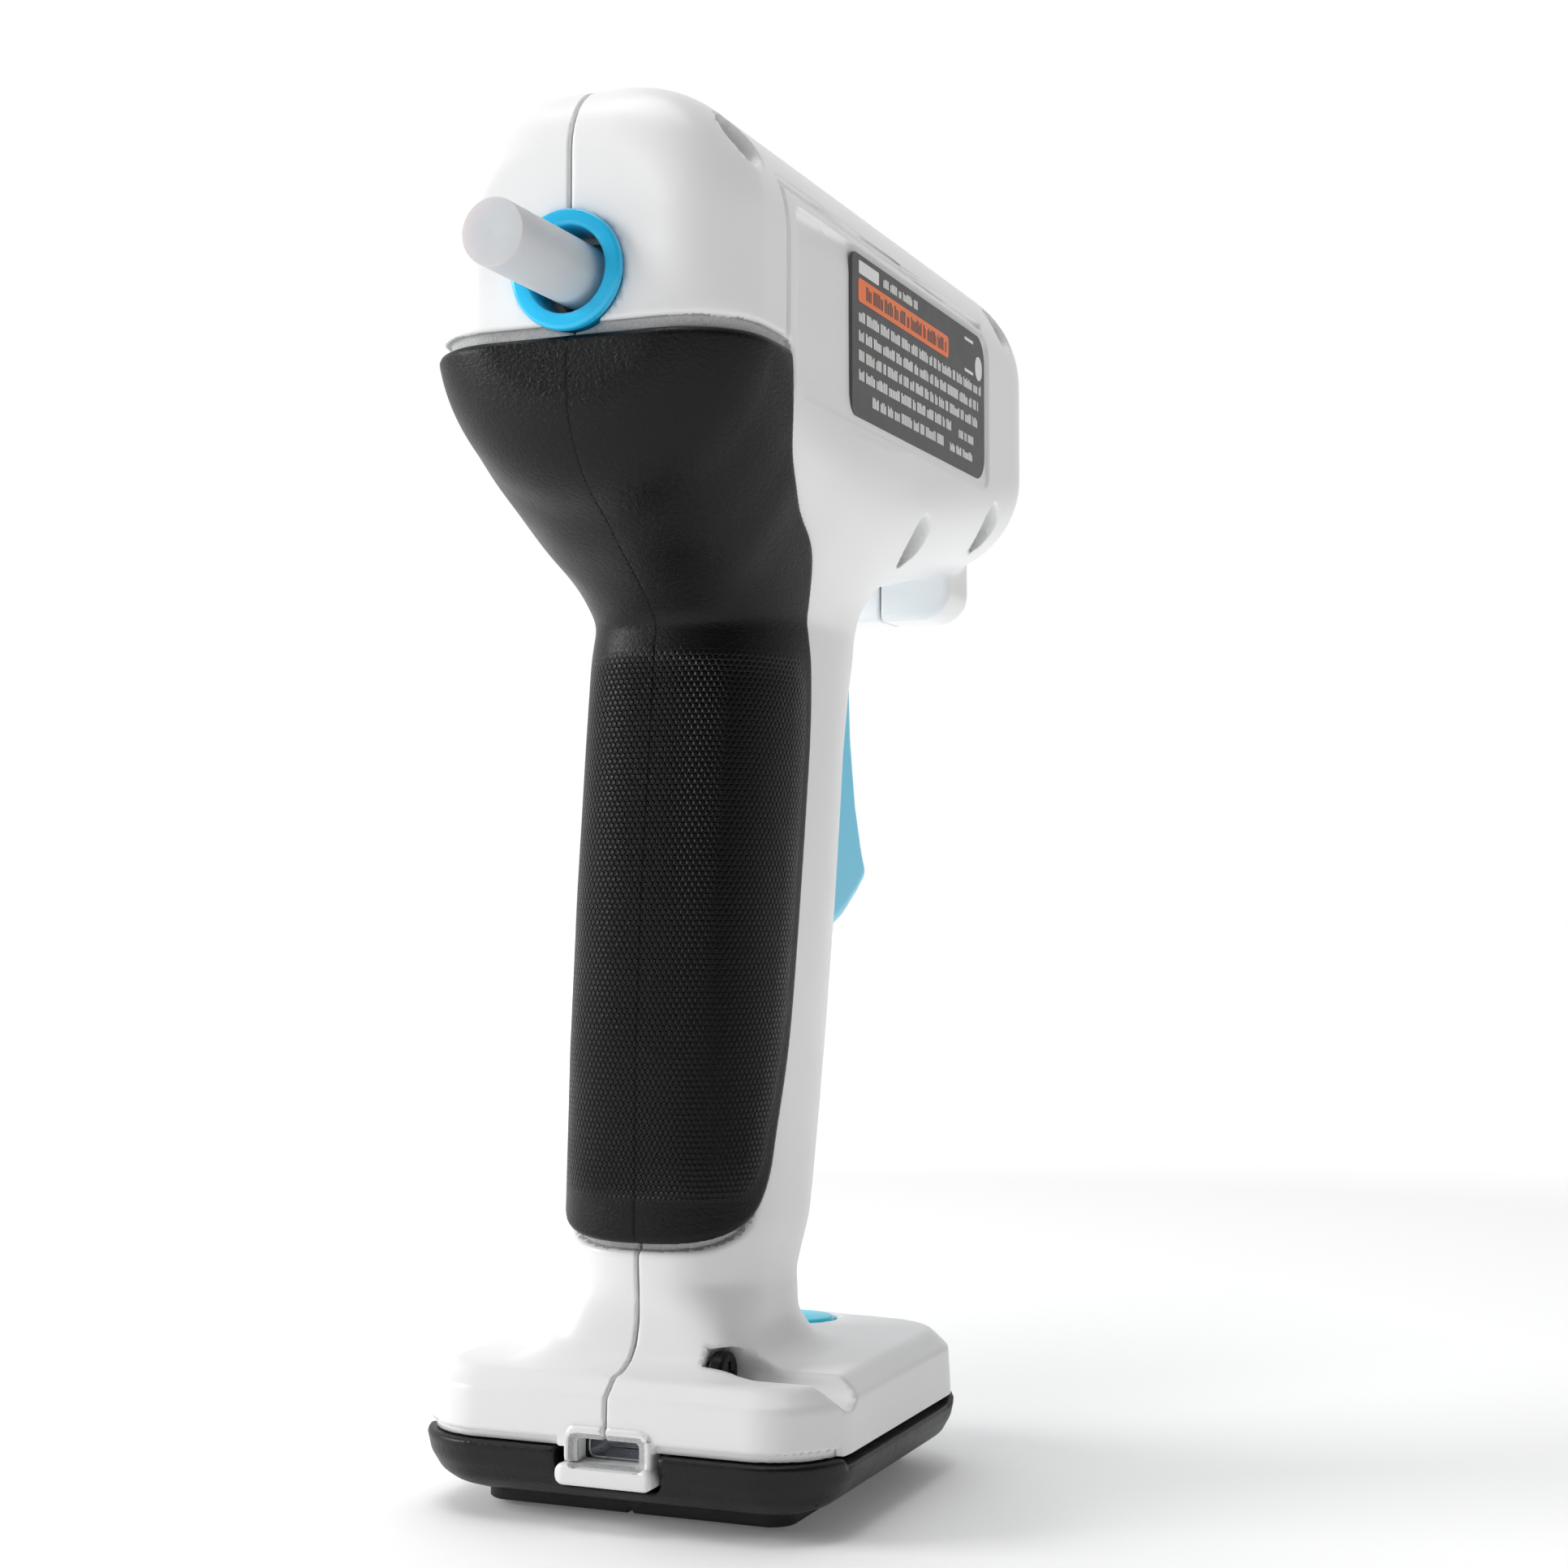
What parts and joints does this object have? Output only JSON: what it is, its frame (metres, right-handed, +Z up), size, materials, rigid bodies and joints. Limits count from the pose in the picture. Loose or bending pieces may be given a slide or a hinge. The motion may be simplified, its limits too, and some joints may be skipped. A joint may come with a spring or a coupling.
{
  "type": "cordless glue gun",
  "caption": "Cordless hot-melt glue gun: two-shell pistol body with soft grips, pivoting trigger, stick feed, heated nozzle and a flat foot with a charging port.",
  "frame": {"origin": "middle of the sole that the gun stands on", "axes": "+Z up, +Y forward to the nozzle, +X to the right when seen from behind"},
  "size_m": [0.0504, 0.1498, 0.1545],
  "materials": {
    "white_shell": "satin moulded shell",
    "soft_grip": "matte soft-touch",
    "cyan_plastic": "satin gloss",
    "trigger_plastic": "satin",
    "glue": "frosted translucent",
    "label_plate": "matte with an orange stripe",
    "black_screw": "black oxide",
    "steel": "plain",
    "aluminium": "cast",
    "brass": "turned",
    "silicone": "matte silicone",
    "inner_plastic": "plain",
    "board": "solder mask",
    "cell_wrap": "shrink wrap",
    "red_lead": "insulated wire",
    "black_lead": "insulated wire",
    "component_black": "plain"
  },
  "bodies": {
    "root": {"right_housing": "white_shell", "left_housing": "white_shell", "right_grip": "soft_grip", "left_grip": "soft_grip", "base_tray": "soft_grip", "sole_pad": "soft_grip", "side_label": "label_plate", "housing_screw_top_rear": "black_screw", "housing_screw_top_front": "black_screw", "housing_screw_lower_front": "black_screw", "housing_screw_trigger_boss": "black_screw", "housing_screw_foot": "black_screw", "stick_inlet_ring": "cyan_plastic", "guide_tube": "inner_plastic", "inlet_sleeve": "silicone", "sleeve_clamp": "steel", "heat_shield": "aluminium", "melt_chamber": "aluminium", "heater_element": "component_black", "thermal_fuse": "steel", "nose_collar": "cyan_plastic", "nozzle": "brass", "nozzle_cover": "silicone", "control_board": "board", "usb_socket": "steel", "tact_switch": "component_black", "indicator_led": "glue", "battery_cell": "cell_wrap", "battery_tab_top": "steel", "battery_tab_bottom": "steel", "heater_lead_right": "red_lead", "heater_lead_left": "black_lead", "battery_lead_top": "red_lead", "battery_lead_bottom": "black_lead"},
    "trigger": {"trigger": "trigger_plastic"},
    "carriage": {"feed_carriage": "inner_plastic", "gripper_pin": "steel", "return_spring": "steel"},
    "jaw": {"gripper_jaw": "steel"},
    "stick": {"glue_stick": "glue"},
    "button": {"power_button": "cyan_plastic"}
  },
  "joints": [
    {"name": "trigger_pull", "type": "hinge", "parent": "root", "child": "trigger", "pos_m": [0, 0.028, 0.112], "axis": [-1, 0, 0], "range_deg": [0, 12], "stiffness_Nm_per_rad": 0.6, "springref_deg": -14.32},
    {"name": "carriage_feed", "type": "slide", "parent": "root", "child": "carriage", "axis": [0, 1, 0], "range_m": [0, 0.003], "deforming": ["return_spring"]},
    {"name": "jaw_grip", "type": "hinge", "parent": "carriage", "child": "jaw", "pos_m": [0, 0.012, 0.1446], "axis": [-1, 0, 0], "range_deg": [0, 3]},
    {"name": "stick_load", "type": "slide", "parent": "carriage", "child": "stick", "axis": [0, 1, 0], "range_m": [-0.04, 0]},
    {"name": "button_press", "type": "slide", "parent": "root", "child": "button", "axis": [0, 0, -1], "range_m": [0, 0.0003], "stiffness_N_per_m": 2500, "springref_m": -0.0003}
  ],
  "couplings": [
    {"joint": "carriage_feed", "follows": "trigger_pull", "m_per_rad": 0.0112},
    {"joint": "jaw_grip", "follows": "trigger_pull", "ratio": 0.2}
  ]
}
